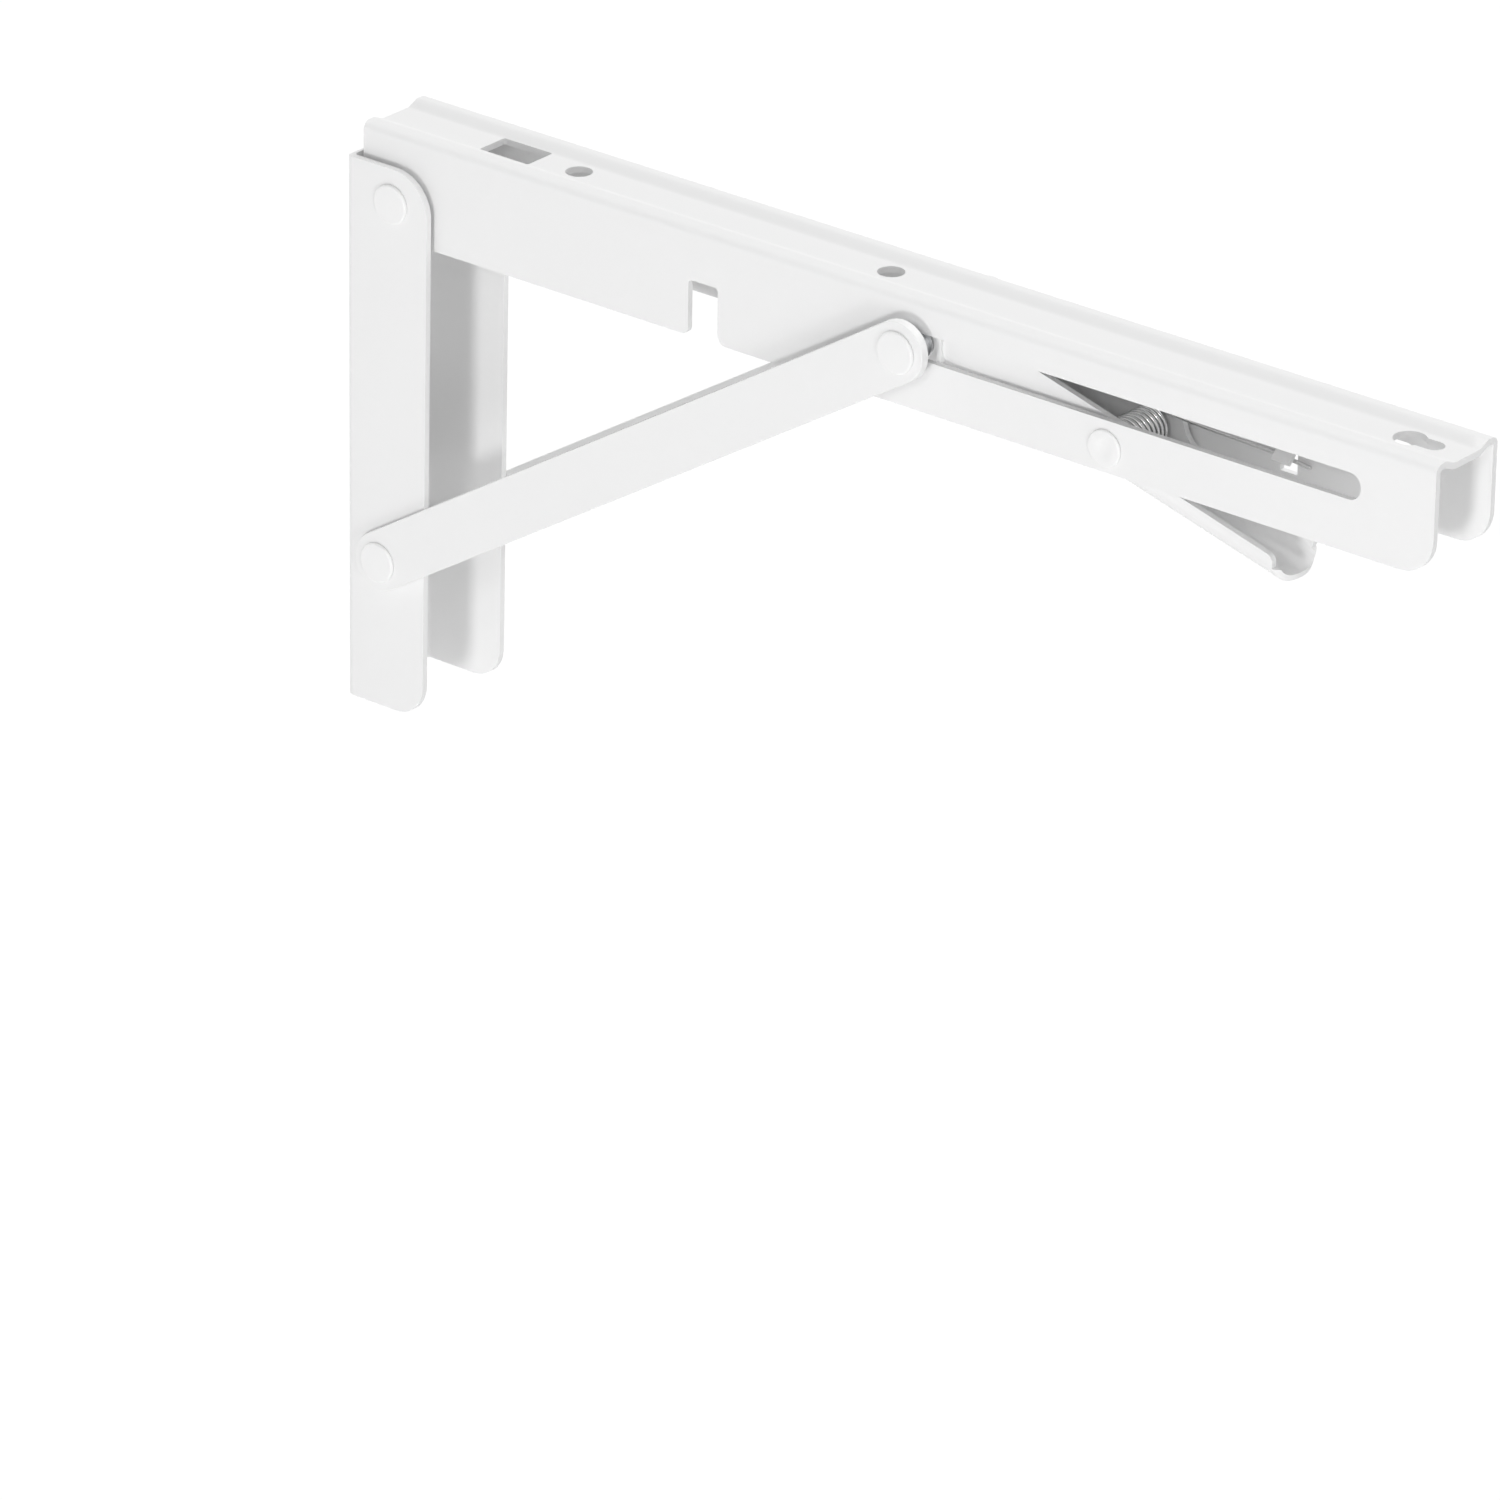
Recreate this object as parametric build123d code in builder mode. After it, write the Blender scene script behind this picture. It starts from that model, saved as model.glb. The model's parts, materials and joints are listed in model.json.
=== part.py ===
from build123d import *

import os
from math import asin, atan2, cos, degrees, hypot, radians, sin, sqrt, tan

# Folding shelf bracket, pressed from steel sheet, sizes in millimetres.
# Frame: x points out of the wall, y across the bracket, z up.
# The origin is the middle of the wall channel's back face.
# "Near" pieces stand at negative y and "far" pieces at positive y.

# Wall channel: a folded strip, open away from the wall
wall_height = 134.6
wall_sheet = 1.6
wall_bend = 2.6
wall_depth_top = 24.6
wall_depth_bottom = 23.4
wall_top_round = 10.0
wall_bottom_round = 8.0
wall_back_round = 1.2
screw_hole = 6.5
screw_pitch = 40.0
screw_drop = 68.5

# Hinge of the arm, and foot pin of the strut below it
hinge_from_wall = 14.1
hinge_below_top = 8.5
foot_from_wall = 12.3
foot_drop = 88.5

# Arm channel: a folded strip, open downwards, with a sunk strip along its top
arm_length = 301.0
arm_width = 22.3
arm_sheet = 1.5
arm_bend = 2.0
arm_above_hinge = 16.15
arm_below_hinge = 10.05
arm_back = 11.3
arm_back_round = 9.4
arm_tip_round = 8.5
valley_depth = 1.3
valley_width = 9.0
valley_slope = 3.0
valley_round = 2.5
side_gap = 1.85
hinge_washer_diameter = 11.0

# Holes in the arm's top, at their distance from the wall, the keyhole's from the tip
cable_hole_at = 38.5
cable_hole_length = 14.2
cable_hole_width = 8.8
cable_hole_round = 0.6
shelf_hole = 6.3
shelf_hole_inner_at = 57.0
shelf_hole_outer_at = 146.1
keyhole_from_tip = 14.8
keyhole_round = 7.6
keyhole_slot = 4.8
keyhole_length = 12.4

# Notch in the arm's flanges that clears the strut's foot pin when folded
notch_short_of_pin = 0.5
notch_above_hinge = 3.4
notch_width = 8.4
notch_corner = 1.0
notch_lip_inner = 1.8
notch_lip_outer = 2.6

# Strut: two flat bars outside the channels; folded, its upper pin stops short of the tip
stud_from_tip = 22.5
strut_width = 14.2
strut_thickness = 2.4
strut_play = 0.2

# Slot in the arm's flanges and the studs that slide in it
slot_height = 5.35
slot_width = 6.3
stud_play = 0.3
slot_end_play = 0.15
collar_radius = 3.9
collar_thickness = 0.85
collar_play = 0.12
stud_proud = 0.8
spacer_diameter = 9.6
spacer_play = 0.3
stud_head_diameter = 10.0
stud_shank = 5.0

# Rivets
rivet_shank = 5.0
hinge_head_diameter = 9.6
foot_head_diameter = 9.7
lever_head_diameter = 8.8
head_height = 1.0
head_round = 0.6
lever_head_height = 0.8
lever_head_dish = 0.25
tight_fit = 0.02
running_fit = 0.08

# Release lever: a round-bottomed trough, open upwards, inside the arm
lever_past_stud = 52.9
lever_pivot_drop = 4.3
lever_set = 15.2
lever_width = 16.8
lever_sheet = 1.5
lever_corner = 5.2
lever_floor = 8.5
lever_ear = 5.5
lever_ear_round = 2.5
lever_waist = 8.8
lever_waist_height = 0.9
lever_waist_round = 6.0
lever_rim_start = 17.0
lever_rim_drop = 2.2
lever_rim_round = 10.0
lever_handle = 46.0
lever_end_drop = 5.2
lever_end_round = 2.0
lever_tongue = 3.2
lever_roof_play = 0.7
lip_gap = 0.8
lip_height = 7.0
lip_side_play = 0.3
washer_diameter = 9.0
washer_play = 0.1

# Torsion spring and the bush that carries it
wire = 1.2
coil_radius = 4.4
coil_pitch = 1.42
coil_turns = 8
bush_diameter = 7.3
bush_play = 0.15
short_leg = 12.0
short_leg_aside = 3.2
short_leg_play = 0.1
long_leg_past_lug = 6.4
long_leg_bend_at = 8.5
long_leg_bend_aside = 6.15
long_leg_aside = 8.7

# Lug bent in and down from a window in the far flange, which holds the spring's long leg
lug_past_pivot = 34.0
lug_length = 4.6
lug_reach = 2.8
lug_thickness = 1.2
lug_drop = 1.54
lug_window = 5.75
lug_play = 0.06

# Places that follow from the sizes above
hinge_z = wall_height / 2 - hinge_below_top
foot_z = hinge_z - foot_drop
arm_outer = arm_width / 2
arm_inner = arm_outer - arm_sheet
wall_inner = arm_outer + side_gap
wall_outer = wall_inner + wall_sheet
bar_inner = wall_outer + strut_play
bar_outer = bar_inner + strut_thickness
lever_outer = lever_width / 2
lever_inner = lever_outer - lever_sheet
notch_at = foot_drop - notch_short_of_pin

# The strut's upper pin lies on the slot's middle line, at rest and folded
foot_inset = hinge_from_wall - foot_from_wall
stud_folded = arm_length - hinge_from_wall - stud_from_tip
strut_length = hypot(stud_folded - foot_drop, slot_height + foot_inset)
strut_rise = asin((slot_height + foot_drop) / strut_length)
stud_rest = strut_length * cos(strut_rise) - foot_inset
stud_radius = slot_width / 2 - stud_play
lever_pivot_at = hinge_from_wall + stud_rest + lever_past_stud
lug_at = lever_pivot_at + lug_past_pivot
lug_underside = hinge_z - lug_drop
lug_rise = lug_thickness * sqrt(0.5)
keyhole_at = arm_length - keyhole_from_tip
slot_end = stud_folded + slot_end_play
keyhole_tail = keyhole_length - (keyhole_round + keyhole_slot) / 2

# Planes for side views, with their own x outwards and y upwards
side_plane = Plane(origin=(hinge_from_wall, 0, hinge_z), x_dir=(1, 0, 0), z_dir=(0, -1, 0))
strut_plane = Plane(
    origin=(foot_from_wall, 0, foot_z),
    x_dir=(cos(strut_rise), 0, sin(strut_rise)),
    z_dir=(0, -1, 0),
)
set_angle = radians(lever_set)
along_lever = Vector(cos(set_angle), 0, -sin(set_angle))
above_lever = Vector(sin(set_angle), 0, cos(set_angle))
pivot = Vector(lever_pivot_at, 0, hinge_z - lever_pivot_drop)
lever_plane = Plane(origin=pivot, x_dir=along_lever, z_dir=(0, -1, 0))

# Outlines of the folded strips, seen along them, each closed past its open side
spare = 10.0
wall_section_plane = Plane.XY.offset(-wall_height / 2)
wall_back_corners = [(0, -wall_outer), (0, wall_outer)]
wall_outline = [
    (wall_depth_top + spare, -wall_outer),
    *wall_back_corners,
    (wall_depth_top + spare, wall_outer),
]
arm_section_plane = Plane(
    origin=(hinge_from_wall - arm_back, 0, hinge_z),
    x_dir=(0, 1, 0),
    z_dir=(1, 0, 0),
)
arm_top_corners = [(-arm_outer, arm_above_hinge), (arm_outer, arm_above_hinge)]
arm_valley_corners = [
    (-valley_width / 2 - valley_slope, arm_above_hinge),
    (-valley_width / 2, arm_above_hinge - valley_depth),
    (valley_width / 2, arm_above_hinge - valley_depth),
    (valley_width / 2 + valley_slope, arm_above_hinge),
]
arm_outline = [
    (-arm_outer, -arm_below_hinge - spare),
    arm_top_corners[0],
    *arm_valley_corners,
    arm_top_corners[1],
    (arm_outer, -arm_below_hinge - spare),
]

# The lever's tail ends at the catch lips, which stand upright in front of the studs
lip_at = hinge_from_wall + stud_rest + collar_radius + lip_gap
roof = arm_above_hinge - valley_depth - arm_sheet - lever_roof_play


def on_lever(x, z):
    """Point of the side view, given from the hinge, as seen along the lever from its pivot."""
    out = hinge_from_wall + x - pivot.X
    up = z + lever_pivot_drop
    return (out * cos(set_angle) - up * sin(set_angle), out * sin(set_angle) + up * cos(set_angle))


lip_x = lip_at - hinge_from_wall
tail_top = on_lever(lip_x, roof)
tail_floor_x = on_lever(lip_x, 0)[0] + (on_lever(lip_x, 0)[1] + lever_floor) * tan(set_angle)
tail_peak = (lever_ear - tail_top[1]) / tan(set_angle) + tail_top[0]
lever_waist_corner = (lever_waist, lever_waist_height)
lever_rim_corner = (lever_rim_start, -lever_rim_drop)
lever_ear_corner = (lever_ear, lever_ear)
lever_end_corner = (lever_handle, -lever_rim_drop)
lever_side_outline = [
    tail_top,
    (tail_peak, lever_ear),
    lever_ear_corner,
    lever_waist_corner,
    lever_rim_corner,
    lever_end_corner,
    (lever_handle, -lever_end_drop),
    (lever_handle + lever_tongue, -lever_end_drop),
    (lever_handle + lever_tongue, -lever_floor),
    (tail_floor_x, -lever_floor),
]
lever_tail = -tail_top[0]
lever_section_plane = Plane(
    origin=pivot - along_lever * (lever_tail + spare / 2),
    x_dir=(0, 1, 0),
    z_dir=along_lever,
)
lever_floor_corners = [(-lever_outer, -lever_floor), (lever_outer, -lever_floor)]
lever_outline = [
    (-lever_outer, lever_ear + spare),
    *lever_floor_corners,
    (lever_outer, lever_ear + spare),
]

os.makedirs("parts", exist_ok=True)


def save(part, name):
    """Label a finished piece and write it to its own file."""
    part.label = name
    export_step(part, f"parts/{name}.step")


def nearest(shape, point):
    """Corner of a sketch that lies nearest to a point of its plane."""
    return shape.vertices().sort_by_distance(Vector(*point))[0]


def sheet_section(plane, outline, sheet, corners, bend, more_corners=(), more_round=0.0):
    """Section of a folded strip: a closed outline with rounded bends, hollowed by the sheet.

    The closed side of the outline is trimmed off later by the piece's side view.
    """
    with BuildSketch(plane) as section:
        with BuildLine():
            Polyline(*outline, close=True)
        make_face()
        fillet([nearest(section, p) for p in corners], bend)
        if more_corners:
            fillet([nearest(section, p) for p in more_corners], more_round)
        offset(amount=-sheet, mode=Mode.SUBTRACT)
    return section.sketch


def turned_profile(points, rounds):
    """Face of a turned piece from (radius, distance) points, closed along the axis."""
    with BuildSketch(Plane.XY) as profile:
        with BuildLine():
            Polyline(*points, close=True)
        make_face()
        for radius, wanted in rounds:
            fillet([nearest(profile, p) for p in wanted], radius)
    return profile.sketch


def turned(x, z, points, rounds=()):
    """Piece turned about a cross axis through x and z."""
    with BuildPart() as piece:
        add(turned_profile(points, rounds).moved(Location((x, 0, z))))
        revolve(axis=Axis((x, 0, z), (0, 1, 0)))
    return piece.part


def ring(x, z, diameter, start, end):
    """Washer or tube that sits tight on a rivet, from one distance across to another."""
    bore = rivet_shank / 2 + tight_fit
    points = [(bore, start), (diameter / 2, start), (diameter / 2, end), (bore, end)]
    return turned(x, z, points)


def rivet(x, z, half_grip, head_diameter, height, dish=0.0):
    """Through rivet with one head each side. A dish sinks the middle of its heads."""
    head = head_diameter / 2
    shank = rivet_shank / 2
    end = half_grip + height
    points = [
        (0, -end),
        (head, -end),
        (head, -half_grip),
        (shank, -half_grip),
        (shank, half_grip),
        (head, half_grip),
        (head, end),
        (0, end),
    ]
    rims = [(head, -end), (head, end)]
    with BuildPart() as piece:
        add(turned(x, z, points, [(head_round * height, rims)]))
        if dish:
            ball = (head * head / 4 + dish * dish) / (2 * dish)
            with Locations((x, end - dish + ball, z), (x, dish - end - ball, z)):
                Sphere(ball, mode=Mode.SUBTRACT)
    return piece.part


# Wall channel
with BuildPart() as wall_channel:
    wall_section = sheet_section(
        wall_section_plane,
        wall_outline,
        wall_sheet,
        wall_back_corners,
        wall_bend,
    )
    extrude(wall_section, amount=wall_height, dir=wall_section_plane.z_dir)
    with BuildSketch(Plane.XZ) as wall_side:
        with BuildLine():
            Polyline(
                (0, -wall_height / 2),
                (wall_depth_bottom, -wall_height / 2),
                (wall_depth_top, wall_height / 2),
                (0, wall_height / 2),
                close=True,
            )
        make_face()
        fillet(wall_side.vertices().group_by(Axis.X)[0], wall_back_round)
        fillet(nearest(wall_side, (wall_depth_top, wall_height / 2)), wall_top_round)
        fillet(nearest(wall_side, (wall_depth_bottom, -wall_height / 2)), wall_bottom_round)
    extrude(amount=wall_outer, both=True, mode=Mode.INTERSECT)
    with BuildSketch(side_plane):
        Circle(rivet_shank / 2 + tight_fit)
        with Locations((-foot_inset, -foot_drop)):
            Circle(rivet_shank / 2 + running_fit)
    extrude(amount=wall_outer, both=True, mode=Mode.SUBTRACT)
    with BuildSketch(Plane.YZ):
        with Locations((0, hinge_z - screw_drop)):
            with GridLocations(0, screw_pitch, 1, 3):
                Circle(screw_hole / 2)
    extrude(amount=wall_sheet, mode=Mode.SUBTRACT)
save(wall_channel.part, "wall_channel")

# Arm channel
with BuildPart() as arm_channel:
    arm_section = sheet_section(
        arm_section_plane,
        arm_outline,
        arm_sheet,
        arm_top_corners,
        arm_bend,
        arm_valley_corners,
        valley_round,
    )
    extrude(arm_section, amount=arm_length - hinge_from_wall + arm_back, dir=arm_section_plane.z_dir)
    with BuildSketch(side_plane) as arm_side:
        with BuildLine():
            Polyline(
                (-arm_back, -arm_below_hinge),
                (arm_length - hinge_from_wall, -arm_below_hinge),
                (arm_length - hinge_from_wall, arm_above_hinge),
                (-arm_back, arm_above_hinge),
                close=True,
            )
        make_face()
        with Locations((notch_at, -arm_below_hinge)):
            Rectangle(
                notch_width,
                arm_below_hinge + notch_above_hinge,
                align=(Align.CENTER, Align.MIN),
                mode=Mode.SUBTRACT,
            )
        notch_inner = notch_at - notch_width / 2
        notch_outer = notch_at + notch_width / 2
        notch_ends = [(notch_inner, notch_above_hinge), (notch_outer, notch_above_hinge)]
        fillet([nearest(arm_side, p) for p in notch_ends], notch_corner)
        fillet(nearest(arm_side, (notch_inner, -arm_below_hinge)), notch_lip_inner)
        fillet(nearest(arm_side, (notch_outer, -arm_below_hinge)), notch_lip_outer)
        fillet(nearest(arm_side, (-arm_back, -arm_below_hinge)), arm_back_round)
        fillet(nearest(arm_side, (arm_length - hinge_from_wall, -arm_below_hinge)), arm_tip_round)
        Circle(rivet_shank / 2 + running_fit, mode=Mode.SUBTRACT)
        with Locations((lever_pivot_at - hinge_from_wall, -lever_pivot_drop)):
            Circle(rivet_shank / 2 + tight_fit, mode=Mode.SUBTRACT)
        with Locations(((stud_rest + slot_end) / 2, slot_height)):
            SlotCenterToCenter(slot_end - stud_rest, slot_width, mode=Mode.SUBTRACT)
    extrude(amount=arm_outer, both=True, mode=Mode.INTERSECT)
    with BuildSketch(Plane.XY.offset(hinge_z + arm_above_hinge)):
        with Locations((cable_hole_at, 0)):
            RectangleRounded(cable_hole_length, cable_hole_width, cable_hole_round)
        with Locations((shelf_hole_inner_at, 0), (shelf_hole_outer_at, 0)):
            Circle(shelf_hole / 2)
        with Locations((keyhole_at, 0)):
            Circle(keyhole_round / 2)
        with Locations((keyhole_at + keyhole_tail / 2, 0)):
            SlotCenterToCenter(keyhole_tail, keyhole_slot)
    extrude(amount=-valley_depth - 2 * arm_sheet, mode=Mode.SUBTRACT)
    with BuildSketch(Plane.XZ.offset(-arm_outer)):
        with Locations((lug_at, lug_underside - lug_window / 2)):
            Rectangle(lug_length, lug_window)
    extrude(amount=arm_sheet, mode=Mode.SUBTRACT)
    with BuildSketch(Plane.YZ.offset(lug_at - lug_length / 2)):
        with BuildLine():
            Polyline(
                (arm_inner, lug_underside),
                (arm_inner - lug_reach, lug_underside - lug_reach),
                (arm_inner - lug_reach - lug_rise, lug_underside - lug_reach + lug_rise),
                (arm_inner, lug_underside + 2 * lug_rise),
                close=True,
            )
        make_face()
    extrude(amount=lug_length)
save(arm_channel.part, "arm_channel")

# Release lever: its side view is drawn about its pivot, along the lever
with BuildPart() as release_lever:
    lever_section = sheet_section(
        lever_section_plane,
        lever_outline,
        lever_sheet,
        lever_floor_corners,
        lever_corner,
    )
    lever_reach = lever_tail + lever_handle + lever_tongue
    extrude(lever_section, amount=lever_reach + spare, dir=lever_section_plane.z_dir)
    with BuildSketch(lever_plane) as lever_side:
        with BuildLine():
            Polyline(*lever_side_outline, close=True)
        make_face()
        fillet(nearest(lever_side, lever_ear_corner), lever_ear_round)
        fillet(nearest(lever_side, lever_waist_corner), lever_waist_round)
        fillet(nearest(lever_side, lever_rim_corner), lever_rim_round)
        fillet(nearest(lever_side, lever_end_corner), lever_end_round)
        Circle(rivet_shank / 2 + running_fit, mode=Mode.SUBTRACT)
    extrude(amount=lever_outer, both=True, mode=Mode.INTERSECT)
    with BuildSketch(Plane(origin=pivot, x_dir=along_lever, z_dir=above_lever)):
        with BuildLine():
            ThreePointArc(
                (lever_handle, -lever_outer),
                (lever_handle + lever_tongue, 0),
                (lever_handle, lever_outer),
            )
            Polyline(
                (lever_handle, lever_outer),
                (-lever_tail, lever_outer),
                (-lever_tail, -lever_outer),
                (lever_handle, -lever_outer),
            )
        make_face()
    extrude(amount=lever_tail, both=True, mode=Mode.INTERSECT)
    for side in (-1, 1):
        with BuildSketch(Plane.XZ.offset(-side * lever_inner)):
            with Locations((lip_at, hinge_z + slot_height)):
                Rectangle(lever_sheet, lip_height, align=(Align.MIN, Align.CENTER))
        extrude(amount=-side * (arm_inner - lip_side_play - lever_inner))
save(release_lever.part, "release_lever")

# Strut bars, near and far
for name, side in (("near", -1), ("far", 1)):
    with BuildPart() as strut_bar:
        with BuildSketch(strut_plane.offset(-side * bar_inner)):
            with Locations((strut_length / 2, 0)):
                SlotCenterToCenter(strut_length, strut_width)
            Circle(rivet_shank / 2 + tight_fit, mode=Mode.SUBTRACT)
            with Locations((strut_length, 0)):
                Circle(stud_shank / 2 + tight_fit, mode=Mode.SUBTRACT)
        extrude(amount=-side * strut_thickness)
    save(strut_bar.part, f"strut_bar_{name}")

# Rivets
save(rivet(hinge_from_wall, hinge_z, wall_outer, hinge_head_diameter, head_height), "hinge_rivet")
save(rivet(foot_from_wall, foot_z, bar_outer, foot_head_diameter, head_height), "foot_rivet")
save(
    rivet(pivot.X, pivot.Z, arm_outer, lever_head_diameter, lever_head_height, lever_head_dish),
    "lever_rivet",
)

# Washers beside the arm and beside the lever, and the bush between the lever's flanges
for name, side in (("near", -1), ("far", 1)):
    save(
        ring(
            hinge_from_wall,
            hinge_z,
            hinge_washer_diameter,
            side * (arm_outer + washer_play),
            side * (wall_inner - washer_play),
        ),
        f"hinge_washer_{name}",
    )
    save(
        ring(
            pivot.X,
            pivot.Z,
            washer_diameter,
            side * (lever_outer + washer_play),
            side * (arm_inner - washer_play),
        ),
        f"lever_washer_{name}",
    )
bush_end = lever_inner - bush_play
save(ring(pivot.X, pivot.Z, bush_diameter, -bush_end, bush_end), "pivot_bush")

# Torsion spring: its short leg lies in the lever's trough, its long leg runs under the lug
lug_from_pivot = Vector(lug_at - pivot.X, 0, lug_underside - pivot.Z)
leg_below_lug = arm_inner - long_leg_aside + (wire / 2 + lug_play) / sqrt(0.5)
leg_at_lug = lug_from_pivot - Vector(0, 0, leg_below_lug)
leg_fall = asin(coil_radius / leg_at_lug.length) - atan2(leg_at_lug.Z, leg_at_lug.X)
coil_length = coil_pitch * (coil_turns + (180 - lever_set + degrees(leg_fall)) / 360)
coil_plane = Plane(
    origin=pivot - Vector(0, coil_length / 2, 0),
    x_dir=-above_lever,
    z_dir=(0, 1, 0),
)
along_leg = Vector(cos(leg_fall), 0, -sin(leg_fall))
leg_foot = pivot + leg_at_lug - along_leg * (along_leg.dot(leg_at_lug))
long_leg_bend = leg_foot + along_leg * long_leg_bend_at + Vector(0, long_leg_bend_aside, 0)
long_leg_lug = pivot + leg_at_lug + Vector(0, long_leg_aside, 0)
long_leg_tip = long_leg_lug + along_leg * long_leg_past_lug
short_leg_drop = lever_floor - lever_sheet - wire / 2 - short_leg_play
short_leg_tip = pivot + along_lever * short_leg - above_lever * short_leg_drop
short_leg_tip = short_leg_tip - Vector(0, short_leg_aside, 0)
with BuildPart() as torsion_spring:
    coil = Edge.make_helix(coil_pitch, coil_length, coil_radius).moved(coil_plane.location)
    with BuildLine() as spring_path:
        Spline(short_leg_tip, coil @ 0, tangents=(-along_lever, coil % 0))
        add(coil)
        Spline(
            coil @ 1,
            long_leg_bend,
            long_leg_lug,
            long_leg_tip,
            tangents=(coil % 1, along_leg),
        )
    with BuildSketch(Plane(origin=short_leg_tip, z_dir=-along_lever)):
        Circle(wire / 2)
    sweep(path=spring_path.wire())
save(torsion_spring.part, "torsion_spring")

# Studs: the sliding part rides in the slot, and the outer part turns with the bar
stud_x = hinge_from_wall + stud_rest
stud_z = hinge_z + slot_height
collar_outer = arm_inner - collar_play
collar_inner = collar_outer - collar_thickness
stud_tip = arm_outer + stud_proud
spacer_inner = stud_tip + spacer_play
for name, side in (("near", -1), ("far", 1)):
    slide = [
        (0, side * collar_inner),
        (collar_radius, side * collar_inner),
        (collar_radius, side * collar_outer),
        (stud_radius, side * collar_outer),
        (stud_radius, side * stud_tip),
        (0, side * stud_tip),
    ]
    save(turned(stud_x, stud_z, slide), f"slide_stud_{name}")
    spacer = [
        (stud_shank / 2 + tight_fit, side * spacer_inner),
        (spacer_diameter / 2, side * spacer_inner),
        (spacer_diameter / 2, side * bar_inner),
        (stud_shank / 2 + tight_fit, side * bar_inner),
    ]
    save(turned(stud_x, stud_z, spacer), f"stud_spacer_{name}")
    head = [
        (0, side * spacer_inner),
        (stud_shank / 2, side * spacer_inner),
        (stud_shank / 2, side * bar_outer),
        (stud_head_diameter / 2, side * bar_outer),
        (stud_head_diameter / 2, side * (bar_outer + head_height)),
        (0, side * (bar_outer + head_height)),
    ]
    rim = [(stud_head_diameter / 2, side * (bar_outer + head_height))]
    save(turned(stud_x, stud_z, head, [(head_round * head_height, rim)]), f"stud_head_{name}")
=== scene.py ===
# %% [markdown]
# # A folding shelf bracket in white powder coat
#
# The bracket is pressed from steel sheet and coated white. A channel is screwed to
# the wall, an arm folds down from it, and two flat bars hold the arm level. The CAD
# model gives every piece its size and place. This lesson gives the pieces the soft
# edges, the coat and the bare metal that the eye expects, and lights them plainly.

import json
from math import cos, radians, sin

import bmesh
import bpy
import numpy as np
from mathutils import Matrix, Vector

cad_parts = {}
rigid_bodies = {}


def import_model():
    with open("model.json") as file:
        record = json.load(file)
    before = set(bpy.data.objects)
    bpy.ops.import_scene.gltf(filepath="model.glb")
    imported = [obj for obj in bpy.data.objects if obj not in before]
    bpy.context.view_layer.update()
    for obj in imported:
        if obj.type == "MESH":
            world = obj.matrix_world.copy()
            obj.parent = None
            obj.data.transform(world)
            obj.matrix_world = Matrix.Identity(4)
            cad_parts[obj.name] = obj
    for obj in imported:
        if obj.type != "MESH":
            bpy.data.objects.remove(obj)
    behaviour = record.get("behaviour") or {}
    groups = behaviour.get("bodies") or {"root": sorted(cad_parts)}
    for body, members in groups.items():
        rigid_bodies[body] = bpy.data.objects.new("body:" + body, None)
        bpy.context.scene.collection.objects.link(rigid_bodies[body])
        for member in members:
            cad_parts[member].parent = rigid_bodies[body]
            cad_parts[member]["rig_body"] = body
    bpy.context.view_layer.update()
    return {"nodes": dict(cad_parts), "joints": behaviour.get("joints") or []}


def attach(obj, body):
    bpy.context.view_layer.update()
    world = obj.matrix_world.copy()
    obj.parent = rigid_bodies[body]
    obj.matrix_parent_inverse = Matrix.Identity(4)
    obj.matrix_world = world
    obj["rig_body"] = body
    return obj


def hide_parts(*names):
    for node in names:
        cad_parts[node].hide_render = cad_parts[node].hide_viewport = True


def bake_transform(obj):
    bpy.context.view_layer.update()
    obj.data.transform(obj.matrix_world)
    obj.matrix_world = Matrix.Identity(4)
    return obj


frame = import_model()
nodes = frame["nodes"]

# %% [markdown]
# ## The camera
#
# The product picture was taken from the front left and a little above, with a long
# lens. Azimuth, elevation, roll and distance were fitted to the rivets and edges of
# the bracket. A constraint could aim the camera, but a camera is no more than a place
# and three directions, so these are worked out from the angles and written straight
# into its matrix.

# %% Place the camera
target = Vector((0.01338, 0.0, 0.05826))
azimuth, elevation, roll = radians(38.47), radians(25.23), radians(0.91)
distance = 2.4
aside, above_middle = -0.07253, 0.12800
pixels_per_mm, frame_pixels, sensor_mm = 4.3981, 1500, 36.0


def new_object(name, data):
    """Object that shows the data given, linked to the scene and at its origin."""
    thing = bpy.data.objects.new(name, data)
    bpy.context.scene.collection.objects.link(thing)
    return thing


level = Vector((cos(azimuth), sin(azimuth), 0.0))
forward = Vector((
    -sin(azimuth) * cos(elevation), cos(azimuth) * cos(elevation), -sin(elevation)
))
upward = level.cross(forward)
right = level * cos(roll) + upward * sin(roll)
up = upward * cos(roll) - level * sin(roll)
eye = target - right * aside - up * above_middle - forward * distance

camera_data = bpy.data.cameras.new("camera")
camera_data.sensor_fit = "HORIZONTAL"
camera_data.sensor_width = sensor_mm
camera_data.lens = pixels_per_mm * distance * 1000 / frame_pixels * sensor_mm
camera = new_object("camera", camera_data)
turn = Matrix((right, up, -forward)).transposed().to_4x4()
camera.matrix_world = Matrix.Translation(eye) @ turn
bpy.context.scene.camera = camera
print("lens in mm:", round(camera_data.lens, 1))

# %% [markdown]
# ## Colours and nodes
#
# Colours are picked as on a screen, in sRGB hex, but light is added up in linear
# values, so one function turns the first into the second. Materials are built from
# nodes. One helper adds a node, sets its sockets and links what feeds it, which keeps
# each recipe short enough to read.

# %% Colour and node helpers
def linear(hex_colour):
    """Linear RGBA of an sRGB hex colour.

    A dark channel is divided by 12.92. Any other has 0.055 added, is divided by 1.055
    and is raised to the power 2.4.
    """
    channels = np.array([int(hex_colour[i:i + 2], 16) for i in (1, 3, 5)]) / 255
    low = channels / 12.92
    high = ((channels + 0.055) / 1.055) ** 2.4
    return (*np.where(channels <= 0.04045, low, high), 1.0)


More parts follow.
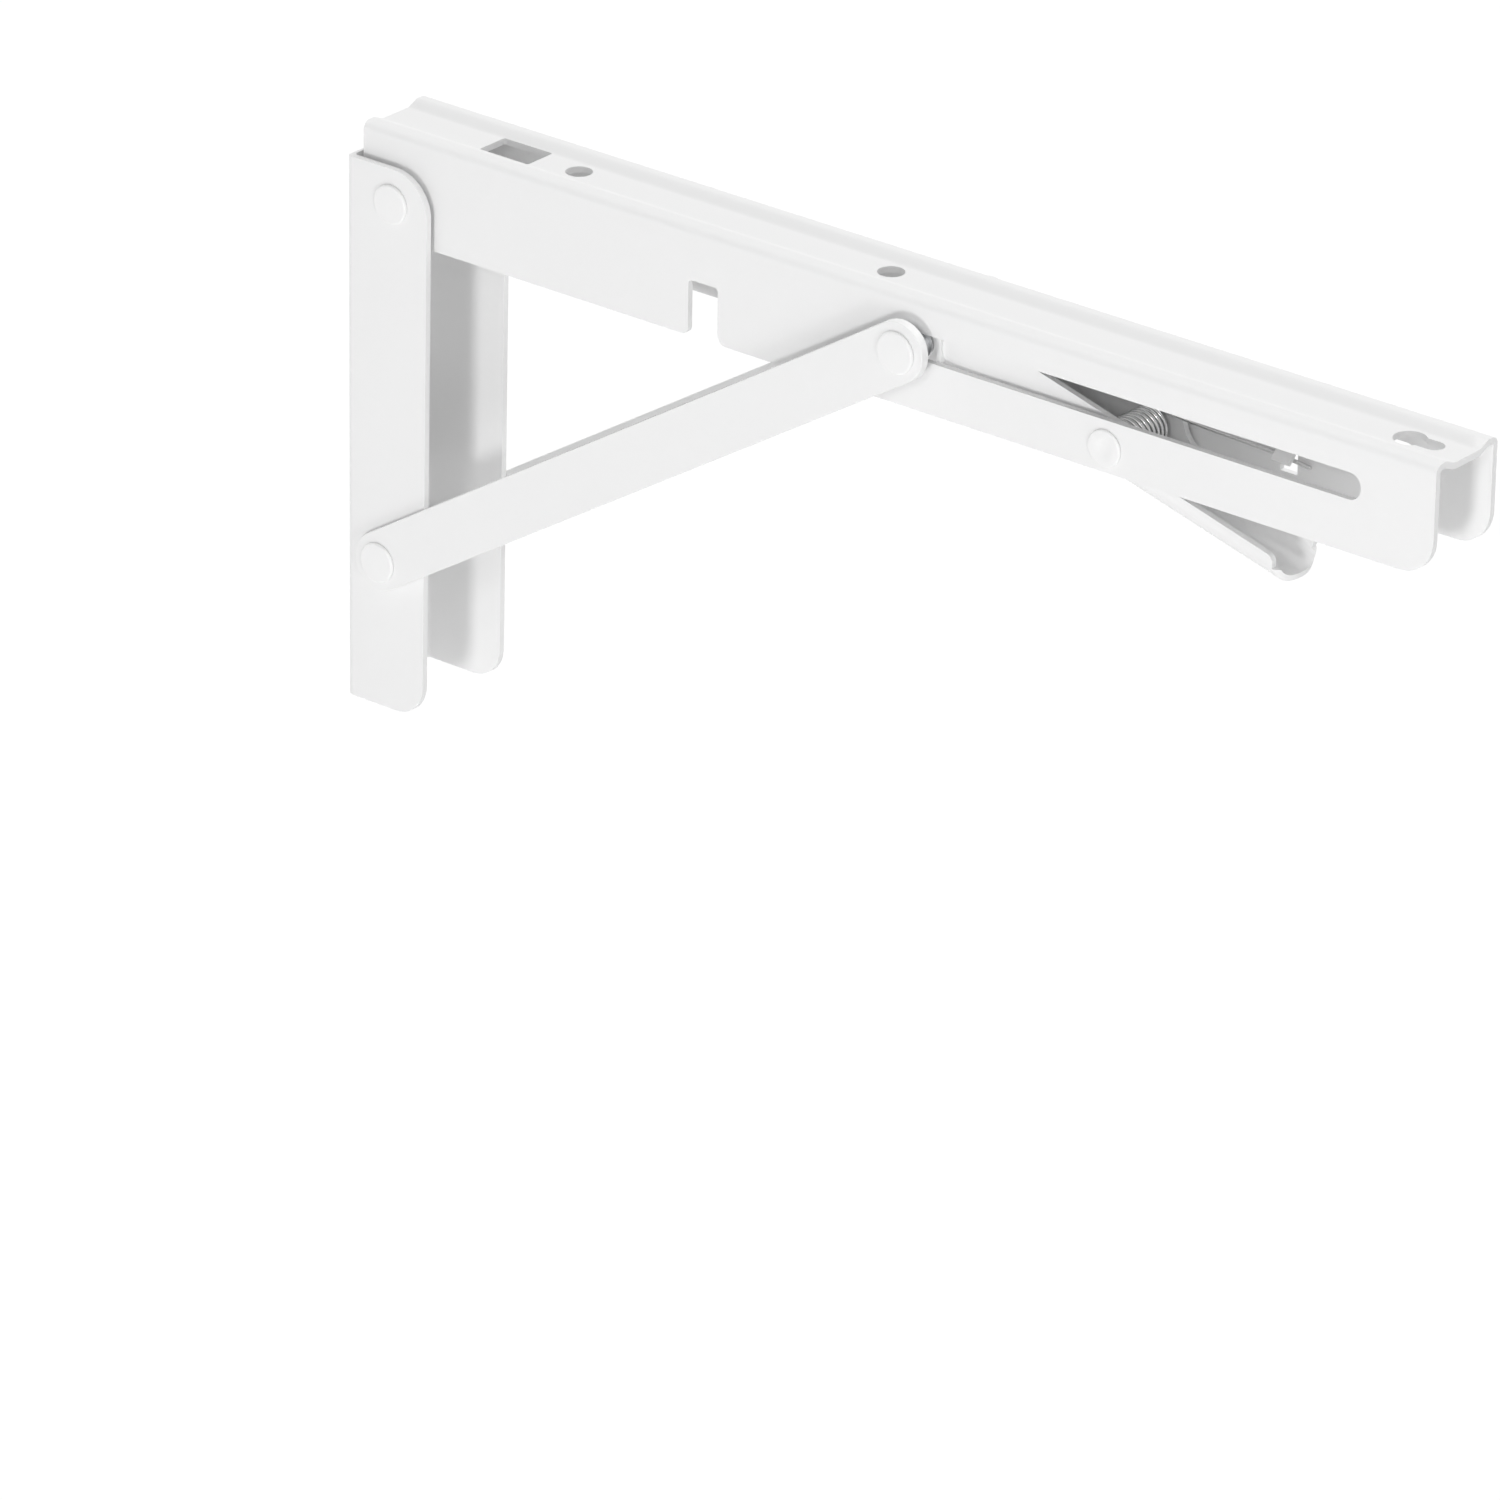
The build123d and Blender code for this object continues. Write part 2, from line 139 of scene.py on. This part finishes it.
def add_node(tree, kind, settings=(), inputs=(), links=()):
    """Add one node, give it settings and socket values, and link what feeds it."""
    node = tree.nodes.new(kind)
    for name, value in dict(settings).items():
        setattr(node, name, value)
    for name, value in dict(inputs).items():
        node.inputs[name].default_value = value
    for name, source in dict(links).items():
        tree.links.new(source, node.inputs[name])
    return node


def new_material(name):
    """Empty node material with its output node."""
    material = bpy.data.materials.new(name)
    material.use_nodes = True
    material.node_tree.nodes.clear()
    output = add_node(material.node_tree, "ShaderNodeOutputMaterial")
    return material, material.node_tree, output


print("linear white:", linear("#FFFFFF"))

# %% [markdown]
# ## White powder coat
#
# Polyester powder is sprayed on dry and melted in an oven. It flows into a thick
# satin skin with a faint orange-peel swell about a millimetre across. The skin is
# plastic, so its index of refraction is 1.5 and nothing of the steel shows through.
# A second, finer grain keeps the highlight from looking like glass. Both are bump,
# because they are a few hundredths of a millimetre high and never reach an outline.
# The rivets' heads are pressed hard and round, so their coat lies smoother. Their coat is
# also painted a shade lighter than the sheet's, as a painted highlight for the light
# their round heads catch.

# %% Powder coat material
MM = 0.001


def powder_coat(name, colour, roughness):
    """Satin white coat: a plastic skin whose normal swells with two noises."""
    material, tree, output = new_material(name)
    place = add_node(tree, "ShaderNodeTexCoord").outputs["Object"]
    swell = add_node(
        tree, "ShaderNodeTexNoise",
        inputs={"Scale": 1 / (1.1 * MM), "Detail": 1.0, "Roughness": 0.4},
        links={"Vector": place},
    )
    grain = add_node(
        tree, "ShaderNodeTexNoise",
        inputs={"Scale": 1 / (0.35 * MM), "Detail": 2.0, "Roughness": 0.6},
        links={"Vector": place},
    )
    swell_bump = add_node(
        tree, "ShaderNodeBump",
        inputs={"Strength": 0.35, "Distance": 0.02 * MM},
        links={"Height": swell.outputs["Fac"]},
    )
    grain_bump = add_node(
        tree, "ShaderNodeBump",
        inputs={"Strength": 0.25, "Distance": 0.006 * MM},
        links={"Height": grain.outputs["Fac"], "Normal": swell_bump.outputs["Normal"]},
    )
    thickness = add_node(
        tree, "ShaderNodeTexNoise",
        inputs={"Scale": 1 / (24 * MM), "Detail": 3.0},
        links={"Vector": place},
    )
    shade = add_node(
        tree, "ShaderNodeMapRange",
        inputs={"To Min": roughness - 0.03, "To Max": roughness + 0.03},
        links={"Value": thickness.outputs["Fac"]},
    )
    skin = add_node(
        tree, "ShaderNodeBsdfPrincipled",
        inputs={"Base Color": linear(colour), "IOR": 1.5},
        links={
            "Roughness": shade.outputs["Result"],
            "Normal": grain_bump.outputs["Normal"],
        },
    )
    tree.links.new(skin.outputs["BSDF"], output.inputs["Surface"])
    return material


sheet_coat = powder_coat("white_powder_coat_on_sheet", "#EFEFEF", 0.52)
# The rivets' coat is painted lighter than the sheet's (#F2F2F2 against #EFEFEF): painted
# light standing in for the glint on their round heads.
rivet_coat_painted_lighter = powder_coat("white_powder_coat_on_rivets_painted_lighter", "#F2F2F2", 0.34)
print("coats:", sheet_coat.name, rivet_coat_painted_lighter.name)

# %% [markdown]
# ## Zinc plate and spring wire
#
# The pieces inside the arm are bare metal. Turned pieces are dipped in bright zinc and
# keep the marks of the lathe, which run round them a few tenths of a millimetre apart.
# The spring is hard-drawn wire, and the die leaves fine lines along it, too fine to
# show, so they are drawn a quarter of a millimetre apart. The noise is stretched for
# both: short across the lines and long in their direction. Both are metals, so
# metallic is 1 and the colour is that of the reflection.

# %% Bare metal materials
def bare_metal(name, colour, roughness, coordinate, lines_per_mm):
    """Metal with fine lines: a noise scaled by its lines per mm in each direction."""
    material, tree, output = new_material(name)
    place = add_node(tree, "ShaderNodeTexCoord").outputs[coordinate]
    stretch = add_node(
        tree, "ShaderNodeMapping",
        inputs={"Scale": [n / MM for n in lines_per_mm]}, links={"Vector": place},
    )
    lines = add_node(
        tree, "ShaderNodeTexNoise",
        inputs={"Scale": 1.0, "Detail": 2.0, "Roughness": 0.5},
        links={"Vector": stretch.outputs["Vector"]},
    )
    shade = add_node(
        tree, "ShaderNodeMapRange",
        inputs={"To Min": roughness - 0.06, "To Max": roughness + 0.08},
        links={"Value": lines.outputs["Fac"]},
    )
    bump = add_node(
        tree, "ShaderNodeBump",
        inputs={"Strength": 0.2, "Distance": 0.008 * MM},
        links={"Height": lines.outputs["Fac"]},
    )
    metal = add_node(
        tree, "ShaderNodeBsdfPrincipled",
        inputs={"Base Color": linear(colour), "Metallic": 1.0},
        links={"Roughness": shade.outputs["Result"], "Normal": bump.outputs["Normal"]},
    )
    tree.links.new(metal.outputs["BSDF"], output.inputs["Surface"])
    return material


zinc = bare_metal("bright_zinc_plate", "#D6D7D8", 0.36, "Object", (0.4, 3.0, 0.4))
wire_steel = bare_metal("drawn_spring_wire", "#DEDEDE", 0.2, "UV", (4.0, 0.1, 1.0))
print("metals:", zinc.name, wire_steel.name)

# %% [markdown]
# ## Soft edges on the CAD pieces
#
# A coat can't follow a sharp edge: it draws back into a small round that catches the
# light as a thin bright line. A shader could only pretend to round the edge, so the
# mesh is rounded. Each CAD node is copied, its loose triangles are joined, and a
# Bevel modifier rounds the sharp edges only. The bends of the sheet are round
# already, so they are only shaded smooth. A rivet's head has a wider round than the
# cut edge of the sheet, and a washer hardly any.

# %% Copy the CAD pieces with rounded edges
sheet_round, head_round, washer_round = 0.22 * MM, 0.36 * MM, 0.08 * MM
same_point, no_length = 0.002 * MM, 0.001 * MM
flat_angle, sharp_angle = radians(0.2), radians(28.0)


def soften(name, material, width):
    """Copy a node, merge its doubles, mark its sharp edges and bevel them by width."""
    source = nodes[name]
    mesh = source.data.copy()
    mesh.name = name + "_coated"
    shape = bmesh.new()
    shape.from_mesh(mesh)
    bmesh.ops.remove_doubles(shape, verts=shape.verts, dist=same_point)
    bmesh.ops.dissolve_degenerate(shape, edges=shape.edges, dist=no_length)
    bmesh.ops.dissolve_limit(
        shape, angle_limit=flat_angle, verts=shape.verts, edges=shape.edges
    )
    for face in shape.faces:
        face.smooth = True
    for edge in shape.edges:
        if len(edge.link_faces) == 2:
            edge.smooth = edge.calc_face_angle(0.0) < sharp_angle
    shape.to_mesh(mesh)
    shape.free()
    mesh.materials.clear()
    mesh.materials.append(material)
    piece = new_object(name + "_coated", mesh)
    bevel = piece.modifiers.new("soft_edge", "BEVEL")
    bevel.width = width
    bevel.segments = 2
    bevel.limit_method = "ANGLE"
    bevel.angle_limit = sharp_angle
    bevel.harden_normals = True
    bevel.use_clamp_overlap = True
    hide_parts(name)
    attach(piece, source["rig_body"])
    return piece


sheet_pieces = [
    "wall_channel", "arm_channel", "release_lever", "strut_bar_near", "strut_bar_far"
]
rivets = ["hinge_rivet", "foot_rivet", "lever_rivet", "stud_head_near", "stud_head_far"]
plated = ("lever_washer", "hinge_washer", "stud_spacer", "slide_stud", "pivot_bush")
for name in sheet_pieces:
    soften(name, sheet_coat, sheet_round)
for name in rivets:
    soften(name, rivet_coat_painted_lighter, head_round)
for name in [name for name in nodes if name.startswith(plated)]:
    soften(name, zinc, washer_round)

# %% [markdown]
# ## The torsion spring
#
# Wire is wound on the bush between the lever's flanges. Its short leg lies in the
# lever's trough and pushes the handle down. Its long leg runs out to the lug in the
# far flange, just under the upper edge of the slot. A curve object with a bevel could
# draw it, but a mesh keeps UVs that follow the wire. The wire is drawn 0.1 mm slimmer
# in radius than it is, so that its turns still read apart from across a room.
#
# All sizes are in millimetres from the lever's pivot. The lever hangs down by its
# travel, and the long leg falls a little towards the tip.

# %% Sizes and directions of the spring
lever_joint = next(joint for joint in frame["joints"] if joint["name"] == "lever_release")
pivot = 1000 * np.array(lever_joint["pos_m"])
wire_radius, coil_radius, pitch, turns = 0.5, 4.4, 1.42, 8
lever_drop, leg_fall = radians(15.2), radians(5.956)
along = np.array((cos(lever_drop), 0, -sin(lever_drop)))
above = np.array((sin(lever_drop), 0, cos(lever_drop)))
across = np.array((0, 1, 0))
along_leg = np.array((cos(leg_fall), 0, -sin(leg_fall)))

# A reach is how far a curve keeps to its first direction, a lean how far it then
# goes across.
tip_along, tip_below, tip_aside = 12.0, 6.3, 3.2
tip_reach, coil_reach = 14.0, 11.0
bend_out, bend_aside, bend_lean = 8.5, 0.13, 0.2
lug_out, lug_aside, lug_lean = 33.7, 2.68, 1.2
past_lug = 6.4
print("pivot in mm:", pivot.round(2))

# %% [markdown]
# The wire's middle line is a list of points: a curve from the short leg into the
# first turn, a helix, and the long leg, which leaves the helix in line with its last
# turn. The curves between them are cubics, because a cubic can be told where it
# starts and ends and which way it points there.

# %% The spring's middle line
def curve(start, start_slope, end, end_slope, count):
    """Points of a cubic that leaves one point and meets another with the slopes given.

    Each point is the sum of the two ends and the two slopes, each times a cubic
    weight: an end's weight is 1 there and 0 at the other end, and a slope's is 0 at both.
    """
    t = np.linspace(0, 1, count)[:, None]
    return (
        (2 * t**3 - 3 * t**2 + 1) * start + (t**3 - 2 * t**2 + t) * start_slope
        + (3 * t**2 - 2 * t**3) * end + (t**3 - t**2) * end_slope
    )


def helix(end_angle, radius, length, count):
    """Points of a coil about the pivot, from under it to the end angle.

    A point lies below the pivot by the radius times the cosine of its angle, and behind
    it by the radius times the sine. Across, it lies at a share of the length, which
    grows evenly from minus a half to a half.
    """
    angle = np.linspace(0, end_angle, count)[:, None]
    share = angle / end_angle - 0.5
    circle = np.cos(angle) * above + np.sin(angle) * along
    return pivot + share * length * across - radius * circle


coil_angle = 2 * np.pi * turns + np.pi - lever_drop + leg_fall
coil_length = pitch * coil_angle / (2 * np.pi)
coil = helix(coil_angle, coil_radius, coil_length, 400)
leaving = along_leg + pitch / (2 * np.pi * coil_radius) * across

short_tip = pivot + tip_along * along - tip_below * above - tip_aside * across
bend = coil[-1] + bend_out * along_leg + bend_aside * across
at_lug = coil[-1] + lug_out * along_leg + lug_aside * across
long_tip = at_lug + past_lug * along_leg
bend_slope = bend_out * along_leg + bend_lean * across
straight = (lug_out - bend_out) * along_leg

into_coil = curve(short_tip, -tip_reach * along, coil[0], -coil_reach * along, 40)
out_of_coil = curve(coil[-1], bend_out * leaving, bend, bend_slope, 12)
to_lug = curve(bend, straight + lug_lean * across, at_lug, straight, 40)
leg_end = curve(at_lug, past_lug * along_leg, long_tip, past_lug * along_leg, 8)
wire_path = np.vstack([into_coil[:-1], coil, out_of_coil[1:], to_lug[1:], leg_end[1:]])
print("spring points:", len(wire_path), "coil length in mm:", round(coil_length, 2))

# %% [markdown]
# A tube around those points needs rings that don't twist. Each ring starts from the
# direction of the ring before it, less the part that leans along the wire. Rings of
# falling radius close both ends with a small dome, as wire has once it is cut and
# tumbled. An extruded circle would do for a straight wire, but not for a coil.

# %% Tube along a path
def untwisted(heading, first):
    """Unit vectors, each square to its heading.

    Each is the vector of the ring before, less its share along the new heading, and
    scaled back to length 1. As it needs the one before, it goes ring by ring.
    """
    sides = np.empty_like(heading)
    side = first
    for ring, axis in enumerate(heading):
        side = side - axis * np.dot(side, axis)
        side = side / np.linalg.norm(side)
        sides[ring] = side
    return sides


def wire_rings(path, radius, steps, dome=(75, 50, 25), dome_length=0.6):
    """Points of a round wire as an array of rings by steps, and its run per ring.

    A point is its ring's centre, plus the ring's radius times the cosine of the angle
    along one side vector and times the sine along the other. On a dome the radius is
    the wire's times the cosine of the dome's angle, and the centre moves out by the
    radius times its sine and the dome's length.
    """
    heading = np.gradient(path, axis=0)
    heading /= np.linalg.norm(heading, axis=1)[:, None]
    lift = np.radians(dome)[:, None]
    out = radius * dome_length * np.sin(lift)
    small = radius * np.cos(lift)
    centres = np.vstack([
        path[0] - out * heading[0], path, path[-1] + out[::-1] * heading[-1]
    ])
    sizes = np.vstack([small, np.full((len(path), 1), radius), small[::-1]])
    axes = np.repeat(
        heading, [1 + len(dome)] + [1] * (len(path) - 2) + [1 + len(dome)], axis=0
    )
    one = untwisted(axes, np.cross(heading[0], (0.3, 0.2, 0.9)))
    other = np.cross(axes, one)
    angle = np.linspace(0, 2 * np.pi, steps, endpoint=False)[None, :, None]
    circle = np.cos(angle) * one[:, None] + np.sin(angle) * other[:, None]
    gaps = np.linalg.norm(np.diff(centres, axis=0), axis=1)
    return centres[:, None] + sizes[:, None] * circle, np.append(0, np.cumsum(gaps))


def wire_mesh(name, path, radius, steps=14):
    """Mesh of a round wire in metres, closed at both ends, with a UV map in metres.

    A face joins each step of a ring to the next step and the next ring. U is the arc
    round the wire and V the run along it, so the map doesn't stretch.
    """
    points, run = wire_rings(path, radius, steps)
    rings = len(points)
    ring = np.arange(rings - 1)[:, None, None] + (0, 0, 1, 1)
    step = np.arange(steps)[None, :, None] + (0, 1, 1, 0)
    walls = (ring * steps + step % steps).reshape(-1, 4)
    cap = np.arange(steps)
    caps = [cap[::-1].tolist(), (cap + (rings - 1) * steps).tolist()]
    mesh = bpy.data.meshes.new(name)
    mesh.from_pydata((MM * points).reshape(-1, 3).tolist(), [], walls.tolist() + caps)
    mesh.polygons.foreach_set("use_smooth", np.ones(len(mesh.polygons), bool))

    wall_steps, wall_rings = (a.ravel() for a in np.broadcast_arrays(step, ring))
    cap_steps = np.where(cap == 0, steps, cap)
    arc = 2 * np.pi * radius / steps
    u = arc * np.concatenate([wall_steps, cap_steps[::-1], cap_steps])
    v = run[np.concatenate([wall_rings, 0 * cap, 0 * cap + rings - 1])]
    layer = mesh.uv_layers.new(name="wire")
    layer.data.foreach_set("uv", (MM * np.stack([u, v], axis=1)).ravel())
    return mesh


wire = wire_mesh("spring_wire", wire_path, wire_radius)
print("wire faces:", len(wire.polygons))

# %% [markdown]
# When the handle is pressed, the short leg turns with the lever while the long leg stays
# with the arm, and the turns between them share the twist. Here the wire is made one
# object with its metal, in place of the CAD spring, which is hidden.

# %% Make the spring object
spring = new_object("spring_wire", wire)
spring.data.materials.append(wire_steel)
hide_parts("torsion_spring")
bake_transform(spring)

# %% [markdown]
# ## Floor and sky
#
# The picture has a plain white ground. A lit white floor would throw light up into
# the bracket and never look quite white, so its white is given to the camera alone, by
# Light Path, and to all other rays it is a pale matt floor. The camera too sees a trace
# of that floor, which keeps a breath of shadow. It lies below the lowest reach of the
# folded arm. In the same way the sky is white to the camera and in reflections, and a
# soft fill for everything else.

# %% Floor
floor_size, floor_height, white_share = 8.0, -0.245, 0.98
floor_material, floor_tree, floor_output = new_material("pale_floor")
floor_skin = add_node(
    floor_tree, "ShaderNodeBsdfDiffuse", inputs={"Color": linear("#F2F2F2")}
)
floor_glow = add_node(floor_tree, "ShaderNodeEmission", inputs={"Strength": 1.03})
floor_rays = add_node(floor_tree, "ShaderNodeLightPath")
floor_seen = add_node(
    floor_tree, "ShaderNodeMath", {"operation": "MULTIPLY"},
    inputs={1: white_share}, links={0: floor_rays.outputs["Is Camera Ray"]},
)
floor_mix = add_node(
    floor_tree, "ShaderNodeMixShader",
    links={
        0: floor_seen.outputs["Value"],
        1: floor_skin.outputs["BSDF"],
        2: floor_glow.outputs["Emission"],
    },
)
floor_tree.links.new(floor_mix.outputs["Shader"], floor_output.inputs["Surface"])

bpy.ops.mesh.primitive_plane_add(size=floor_size, location=(0, 0, floor_height))
floor = bpy.context.object
floor.name = "floor"
floor.data.materials.append(floor_material)
print("floor at", floor.location.z)

# %% Sky
world = bpy.data.worlds.new("studio")
bpy.context.scene.world = world
world.use_nodes = True
world.node_tree.nodes.clear()
sky_tree = world.node_tree
sky_output = add_node(sky_tree, "ShaderNodeOutputWorld")
sky_rays = add_node(sky_tree, "ShaderNodeLightPath")
sky_seen = add_node(
    sky_tree, "ShaderNodeMath", {"operation": "MAXIMUM"},
    links={0: sky_rays.outputs["Is Camera Ray"], 1: sky_rays.outputs["Is Glossy Ray"]},
)
white = (1.0, 1.0, 1.0, 1.0)
sky_fill = add_node(
    sky_tree, "ShaderNodeBackground", inputs={"Color": white, "Strength": 0.42}
)
sky_white = add_node(
    sky_tree, "ShaderNodeBackground", inputs={"Color": white, "Strength": 1.0}
)
sky_mix = add_node(
    sky_tree, "ShaderNodeMixShader",
    links={
        0: sky_seen.outputs["Value"],
        1: sky_fill.outputs["Background"],
        2: sky_white.outputs["Background"],
    },
)
sky_tree.links.new(sky_mix.outputs["Shader"], sky_output.inputs["Surface"])
print("sky fill:", sky_fill.inputs["Strength"].default_value)

# %% [markdown]
# ## Lamps
#
# White on white is told apart by narrow shadows. The front lamp is small and stands
# nearly square to the near flanges, lower than the camera and to its left. So the
# camera sees a sliver of the shadow behind each edge, as a dark line above it and to
# its right. The upper lamp reaches through the slot to the spring. The top lamp
# lights the ridges and the sunk strip from behind. The tip lamp and the wall lamp
# stand beyond the bracket's two ends and light the insides of its flanges.

# %% Place the lamps
aim_point = Vector((0.14, 0.0, 0.03))


def soft_lamp(name, place, size, power):
    """Square area lamp of size metres and power watts, aimed at the bracket's middle."""
    data = bpy.data.lights.new(name, "AREA")
    data.size = size
    data.energy = power
    lamp = new_object(name, data)
    aim = (aim_point - Vector(place)).to_track_quat("-Z", "Y")
    lamp.matrix_world = Matrix.Translation(place) @ aim.to_matrix().to_4x4()
    return lamp


lamps = [
    soft_lamp("front_lamp", (0.86, -2.6, 0.0), 0.35, 20.5),
    soft_lamp("upper_lamp", (0.88, -2.29, 1.26), 0.4, 7.0),
    soft_lamp("top_lamp", (0.3, 1.0, 2.0), 1.2, 27.5),
    soft_lamp("tip_lamp", (2.9, -1.6, -0.1), 1.0, 22.0),
    soft_lamp("wall_lamp", (-2.4, 0.2, 0.5), 1.0, 12.0),
]
bpy.context.scene.view_settings.view_transform = "Standard"
print("lamps:", [lamp.name for lamp in lamps])
